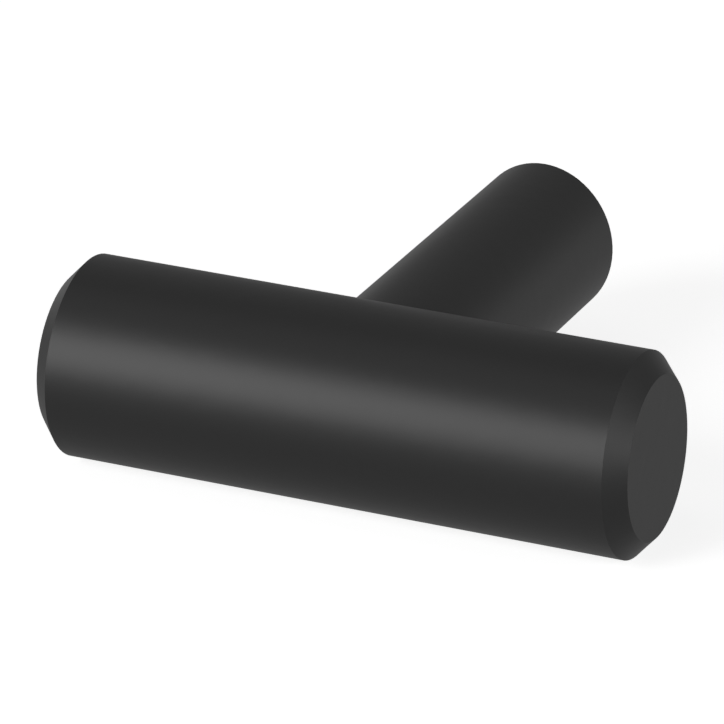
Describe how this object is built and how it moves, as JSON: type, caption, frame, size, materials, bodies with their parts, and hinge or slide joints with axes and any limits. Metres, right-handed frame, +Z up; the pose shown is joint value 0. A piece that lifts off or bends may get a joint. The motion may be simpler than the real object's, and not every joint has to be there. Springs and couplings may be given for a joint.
{
  "type": "t handle knob",
  "caption": "Matte black T handle knob: a round crossbar with chamfered ends on a round post, with a tapped hole in the post's mounting face.",
  "frame": {"origin": "centre of the post's mounting face, where the knob meets the drawer front", "axes": "+X along the crossbar, +Y out of the mounting face into the drawer front, +Z up when the drawer front is upright"},
  "size_m": [0.04, 0.035, 0.012],
  "materials": {
    "bar_powder_coat": "matte black powder coat on turned steel",
    "post_powder_coat": "matte black powder coat on turned steel",
    "stud_steel": "black oxide on alloy steel, oiled"
  },
  "bodies": {
    "root": {"bar": "bar_powder_coat", "post": "post_powder_coat", "joining_stud": "stud_steel"}
  },
  "joints": []
}
